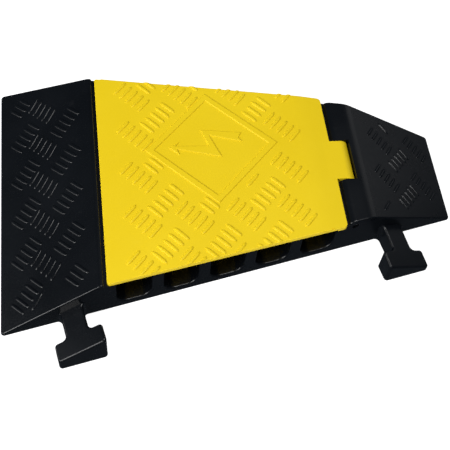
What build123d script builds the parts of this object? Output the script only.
from build123d import *
import os
from math import cos, radians, sin, tan

# A cable protector ramp: the turning section of a five-channel floor cable protector.
# It is a rubber base moulding with two slopes and five channels, a hinged lid over the
# channels, and the hinge rod that joins them.
#
# Frame: +Z is up and the ground is z = 0.  +X runs across the ramp, from its long edge to
# its short edge.  +Y runs along the channels, from the T-lugs to the T-sockets.  The
# origin is on the ground, midway between the two toes and midway along the edges.

# ---- Driving dimensions: millimetres and degrees ----

# The wedge-shaped plan of the base.
WIDTH = 500.0           # toe to toe
LONG_EDGE = 311.2       # length of the toe on the outside of the turn
END_ANGLE = 11.25       # each end face leans in by half of a 22.5 degree turn
TOE_CORNER = 3.5        # rounding of the plan's corners

# The cross-section of the base.
RAMP_ANGLE = 25.8
TOE_HEIGHT = 3.0
CREST_HEIGHT = 53.7     # top of the long slope
CREST_WALL_X = -141.0   # where the crest drops to the shelf that the lid rests on
SHELF_HEIGHT = 50.0     # top of the shelf and of the ribs
HINGE_WALL_HEIGHT = 48.0    # top of the wall between the last channel and the hinge
HOUSING_HEIGHT = 52.5   # top of the short slope, beside the hinge
CREST_ROUND = 5.0
CREST_WALL_ROUND = 2.0
HOUSING_ROUND = 25.0
TOE_ROUND = 2.0
END_ROUND = 1.5         # along the slopes' edges at the two end faces
MOUTH_ROUND = 2.0       # around the mouths of the channels

# The cable channels.
CHANNEL_COUNT = 5
CHANNEL_WIDTH = 37.2
CHANNEL_PITCH = 50.0
CHANNEL_MIDDLE_X = -10.0    # centre of the third channel
CHANNEL_FLOOR = 8.0
CHANNEL_ROUND = 13.0

# The hinge.
HINGE_X = 130.5
HINGE_Z = 42.5
KNUCKLE_RADIUS = 10.0
BARREL_LENGTH = 50.0
BARREL_SIDE_GAP = 1.0
BARREL_ROUND_GAP = 0.8
ROD_RADIUS = 4.0
ROD_LENGTH = 154.0
ROD_RUNNING_GAP = 0.05  # radial gap between the rod and the lid's barrel

# The lid.
LID_LEFT_X = -137.5
LID_RIGHT_X = 119.3
LID_TOP = 55.0
LID_LEFT_LENGTH = 265.8
LID_RIGHT_LENGTH = 170.9
LID_FALL_X = 95.0       # from here the top falls towards the hinge
LID_EDGE_TOP = 53.0     # its height at the hinge edge
LID_LIP_X = 109.0       # the thicker lip that rests on the hinge wall starts here
LID_LEFT_CORNER = 3.0
LID_RIGHT_CORNER = 5.0
LID_FALL_ROUND = 200.0  # the top bends gently where it starts to fall
LID_ROUND = 0.8         # around the top
GATE_MARK_DEPTH = 1.5   # where the moulding gates were cut off its end faces
GATE_MARKS = ((-133.0, 1, 6.0), (102.5, -1, 3.5))   # each: place across, end, width

# The T-lugs on one end, and the clearance of the T-sockets in the other.
LUG_INSET = 75.5        # from each corner of the end face to the lug's middle
NECK_WIDTH = 23.5
NECK_LENGTH = 30.6
HEAD_WIDTH = 50.5
HEAD_DEPTH = 21.2
LUG_OUTER_ROUND = 3.5
LUG_INNER_ROUND = 5.0
LUG_ROOT_ROUND = 5.0    # where the neck meets the end face
LUG_TOP_ROUND = 2.2
LUG_ROOT = 5.0          # how far a lug starts inside the base
LUG_DROP = 15.3         # the lug's top is this far under the slope beside it
SOCKET_CLEARANCE = 0.75

# ---- Worked out from them ----

HALF_WIDTH = WIDTH / 2
END_SLOPE = tan(radians(END_ANGLE))
RAMP_SLOPE = tan(radians(RAMP_ANGLE))
END_LENGTH = WIDTH / cos(radians(END_ANGLE))
SHORT_EDGE = LONG_EDGE - 2 * WIDTH * END_SLOPE
TURN_CENTRE_X = LONG_EDGE / 2 / END_SLOPE - HALF_WIDTH  # where the two end planes meet
CREST_X = (CREST_HEIGHT - TOE_HEIGHT) / RAMP_SLOPE - HALF_WIDTH
HOUSING_X = HALF_WIDTH - (HOUSING_HEIGHT - TOE_HEIGHT) / RAMP_SLOPE
ABOVE = 100.0           # higher than everything, for cutting tools
BEYOND = 250.0          # further along Y than everything
NEAR = 0.02             # close enough to count as on a face


def along_y(section, half_length):
    """A section drawn in X and Z, extruded both ways along Y."""
    return extrude(Plane.XZ * section, amount=half_length, both=True)


def rounded(section, places, radius):
    """The section with its corners nearest to the given places rounded."""
    corners = [section.vertices().sort_by_distance((x, y, 0))[0] for x, y in places]
    return fillet(corners, radius)


def plan(left_x, right_x, left_length, right_length, left_round, right_round):
    """A wedge-shaped plan, symmetric about Y = 0, as a tall block for trimming."""
    left = [(left_x, -left_length / 2), (left_x, left_length / 2)]
    right = [(right_x, right_length / 2), (right_x, -right_length / 2)]
    outline = Polygon(*left, *right, align=None)
    outline = rounded(outline, left, left_round)
    outline = rounded(outline, right, right_round)
    return extrude(outline, amount=ABOVE, dir=(0, 0, 1))


def half_length(x):
    """Half of the base's length along Y at a place across the ramp."""
    return LONG_EDGE / 2 - (x + HALF_WIDTH) * END_SLOPE


def end_edges(body, left_x, right_x, low_z, high_z):
    """The edges of the two end faces whose middles lie within the given limits."""
    found = []
    for edge in body.edges():
        points = [edge @ 0, edge @ 0.5, edge @ 1]
        on_end = all(abs(abs(p.Y) - half_length(p.X)) < NEAR for p in points)
        middle = points[1]
        if on_end and left_x < middle.X < right_x and low_z < middle.Z < high_z:
            found.append(edge)
    return found


def base_section():
    """The base without its channels: two slopes, the shelf, and the hinge knuckle."""
    step_x = CHANNEL_MIDDLE_X + 2 * CHANNEL_PITCH   # the step falls inside the last channel
    crest = (CREST_X, CREST_HEIGHT)
    crest_edge = (CREST_WALL_X, CREST_HEIGHT)
    housing_edge = (HOUSING_X, HOUSING_HEIGHT)
    toes = [(-HALF_WIDTH, TOE_HEIGHT), (HALF_WIDTH, TOE_HEIGHT)]
    outline = Polygon(
        (-HALF_WIDTH, 0),
        toes[0],
        crest,
        crest_edge,
        (CREST_WALL_X, SHELF_HEIGHT),
        (step_x, SHELF_HEIGHT),
        (step_x, HINGE_WALL_HEIGHT),
        (HINGE_X, HINGE_WALL_HEIGHT),
        (HINGE_X, HOUSING_HEIGHT),
        housing_edge,
        toes[1],
        (HALF_WIDTH, 0),
        align=None,
    )
    outline = rounded(outline, [crest], CREST_ROUND)
    outline = rounded(outline, [housing_edge], HOUSING_ROUND)
    outline = rounded(outline, [crest_edge], CREST_WALL_ROUND)
    outline = rounded(outline, toes, TOE_ROUND)
    return outline + Pos(HINGE_X, HINGE_Z) * Circle(KNUCKLE_RADIUS)


def channels():
    """The five cable channels, each open at the top and at both ends."""
    depth = ABOVE - CHANNEL_FLOOR
    section = Pos(0, CHANNEL_FLOOR + depth / 2) * Rectangle(CHANNEL_WIDTH, depth)
    half = CHANNEL_WIDTH / 2
    section = rounded(section, [(-half, CHANNEL_FLOOR), (half, CHANNEL_FLOOR)], CHANNEL_ROUND)
    channel = along_y(section, BEYOND)
    first = CHANNEL_MIDDLE_X - CHANNEL_PITCH * (CHANNEL_COUNT - 1) / 2
    return [Pos(first + i * CHANNEL_PITCH, 0, 0) * channel for i in range(CHANNEL_COUNT)]


def hinge_cylinder(radius, length):
    """A cylinder on the hinge axis."""
    return Pos(HINGE_X, 0, HINGE_Z) * Rot(90, 0, 0) * Cylinder(radius, length)


def hinge_pocket():
    """The space that the lid's barrel and web turn in."""
    length = BARREL_LENGTH + 2 * BARREL_SIDE_GAP
    radius = KNUCKLE_RADIUS + BARREL_ROUND_GAP
    mouth = Box(2 * radius, length, ABOVE, align=(Align.CENTER, Align.CENTER, Align.MIN))
    return hinge_cylinder(radius, length) + Pos(HINGE_X, 0, HINGE_Z) * mouth


def lug(middle, slope_side, gap=0.0):
    """A T-shaped lug standing out of the -Y end face.

    middle is its place along the end face, slope_side is -1 by the long slope and +1 by
    the short one, and gap grows it on every side, which makes the tool for a socket.
    """
    neck = NECK_WIDTH / 2 + gap
    head = HEAD_WIDTH / 2 + gap
    shoulder = NECK_LENGTH - gap
    tip = NECK_LENGTH + HEAD_DEPTH + gap
    root = neck + 2 * LUG_ROOT_ROUND
    roots = [(-neck, 0), (neck, 0)]
    shoulders = [(-neck, shoulder), (neck, shoulder)]
    head_corners = [(-head, shoulder), (-head, tip), (head, tip), (head, shoulder)]
    outline = Polygon(
        (-root, -LUG_ROOT),
        (-root, 0),
        roots[0],
        shoulders[0],
        *head_corners,
        shoulders[1],
        roots[1],
        (root, 0),
        (root, -LUG_ROOT),
        align=None,
    )
    outline = rounded(outline, roots, LUG_ROOT_ROUND)
    outline = rounded(outline, shoulders, LUG_INNER_ROUND - gap)
    outline = rounded(outline, head_corners, LUG_OUTER_ROUND + gap)
    # The outline's own X runs along the end face and its own Y runs out of the base.
    corner = Vector(-HALF_WIDTH, -LONG_EDGE / 2, -gap)
    along = Vector(cos(radians(END_ANGLE)), sin(radians(END_ANGLE)), 0)
    place = Plane(origin=corner + along * middle, x_dir=along, z_dir=(0, 0, -1))
    block = extrude(place * outline, amount=ABOVE, dir=(0, 0, 1))
    # The top is parallel to the slope beside it.
    drop = LUG_DROP - gap
    toe_x = slope_side * HALF_WIDTH
    inner_x = 0.0
    inner_z = TOE_HEIGHT - drop + HALF_WIDTH * RAMP_SLOPE
    under_slope = Polygon(
        (toe_x, -ABOVE),
        (toe_x, TOE_HEIGHT - drop),
        (inner_x, inner_z),
        (inner_x, -ABOVE),
        align=None,
    )
    return block & along_y(under_slope, BEYOND)


def lugs(gap=0.0):
    """The two T-lugs, or the tools for their sockets."""
    return [lug(LUG_INSET, -1, gap), lug(END_LENGTH - LUG_INSET, 1, gap)]


def sockets():
    """The next ramp's lugs with clearance, turned to where they enter the +Y end face."""
    turn = Pos(TURN_CENTRE_X, 0, 0) * Rot(0, 0, -2 * END_ANGLE) * Pos(-TURN_CENTRE_X, 0, 0)
    return [turn * tool for tool in lugs(SOCKET_CLEARANCE)]


def round_top(body, radius):
    """The body with the edges of its one upward-facing face rounded."""
    top = [face for face in body.faces() if face.normal_at().Z > 0.5][0]
    return fillet(top.edges(), radius)


def base_moulding():
    """The rubber base in one piece."""
    base = along_y(base_section(), BEYOND)
    base &= plan(-HALF_WIDTH, HALF_WIDTH, LONG_EDGE, SHORT_EDGE, TOE_CORNER, TOE_CORNER)
    hinge_left = HINGE_X - KNUCKLE_RADIUS
    long_slope = end_edges(base, -HALF_WIDTH, CREST_WALL_X + NEAR, TOE_HEIGHT / 2, ABOVE)
    short_slope = end_edges(base, hinge_left, HALF_WIDTH, TOE_HEIGHT / 2, ABOVE)
    base = fillet(long_slope + short_slope, END_ROUND)
    for cut in channels():
        base -= cut
    mouths_left = CREST_WALL_X + END_ROUND
    mouths_top = HINGE_WALL_HEIGHT - NEAR
    mouths = end_edges(base, mouths_left, hinge_left, CHANNEL_FLOOR - NEAR, mouths_top)
    base = fillet(mouths, MOUTH_ROUND)
    for cut in sockets():
        base -= cut
    for piece in lugs():
        base += round_top(piece, LUG_TOP_ROUND)
    base -= hinge_pocket()
    base -= hinge_cylinder(ROD_RADIUS, LONG_EDGE)
    return base


def lid_plate():
    """The lid without its barrel: a plate with a thicker lip beside the hinge."""
    section = Polygon(
        (LID_LEFT_X, SHELF_HEIGHT),
        (LID_LIP_X, SHELF_HEIGHT),
        (LID_LIP_X, HINGE_WALL_HEIGHT),
        (LID_RIGHT_X, HINGE_WALL_HEIGHT),
        (LID_RIGHT_X, LID_EDGE_TOP),
        (LID_FALL_X, LID_TOP),
        (LID_LEFT_X, LID_TOP),
        align=None,
    )
    section = rounded(section, [(LID_FALL_X, LID_TOP)], LID_FALL_ROUND)
    plate = along_y(section, BEYOND)
    plate &= plan(
        LID_LEFT_X, LID_RIGHT_X, LID_LEFT_LENGTH, LID_RIGHT_LENGTH,
        LID_LEFT_CORNER, LID_RIGHT_CORNER,
    )
    rim = []
    for edge in plate.edges():
        middle = edge @ 0.5
        inside = LID_LEFT_X + NEAR < middle.X < LID_RIGHT_X - NEAR
        along_the_hinge = abs((edge % 0.5).Y) > 0.99
        if middle.Z > LID_EDGE_TOP - NEAR and not (inside and along_the_hinge):
            rim.append(edge)
    return fillet(rim, LID_ROUND)


def gate_marks():
    """Tools for the small notches left in the lid's end faces, at the top."""
    tools = []
    for x, end, width in GATE_MARKS:
        across = (x - LID_LEFT_X) / (LID_RIGHT_X - LID_LEFT_X)
        length = LID_LEFT_LENGTH + across * (LID_RIGHT_LENGTH - LID_LEFT_LENGTH)
        place = Pos(x, end * length / 2, LID_TOP)
        tools.append(place * Box(width, 2 * GATE_MARK_DEPTH, 2 * GATE_MARK_DEPTH))
    return tools


def lid():
    """The lid plate and the barrel that the rod passes through, joined by a web."""
    web_left = LID_LIP_X + 2.0
    fall = (LID_TOP - LID_EDGE_TOP) / (LID_RIGHT_X - LID_FALL_X)
    web_section = Polygon(
        (web_left, HINGE_WALL_HEIGHT),
        (web_left, LID_TOP - fall * (web_left - LID_FALL_X)),
        (HINGE_X, HINGE_Z + KNUCKLE_RADIUS),
        (HINGE_X, HINGE_WALL_HEIGHT),
        align=None,
    )
    barrel = along_y(web_section, BARREL_LENGTH / 2)
    barrel += hinge_cylinder(KNUCKLE_RADIUS, BARREL_LENGTH)
    body = lid_plate() + barrel
    for mark in gate_marks():
        body -= mark
    return body - hinge_cylinder(ROD_RADIUS + ROD_RUNNING_GAP, LONG_EDGE)


def hinge_rod():
    """The steel rod, held by the base's knuckles."""
    rod = hinge_cylinder(ROD_RADIUS, ROD_LENGTH)
    return chamfer(rod.edges().filter_by(GeomType.CIRCLE), 0.5)


os.makedirs("parts", exist_ok=True)
for name, make in (("base_moulding", base_moulding), ("lid", lid), ("hinge_rod", hinge_rod)):
    shape = make()
    shape.label = name
    export_step(shape, f"parts/{name}.step")
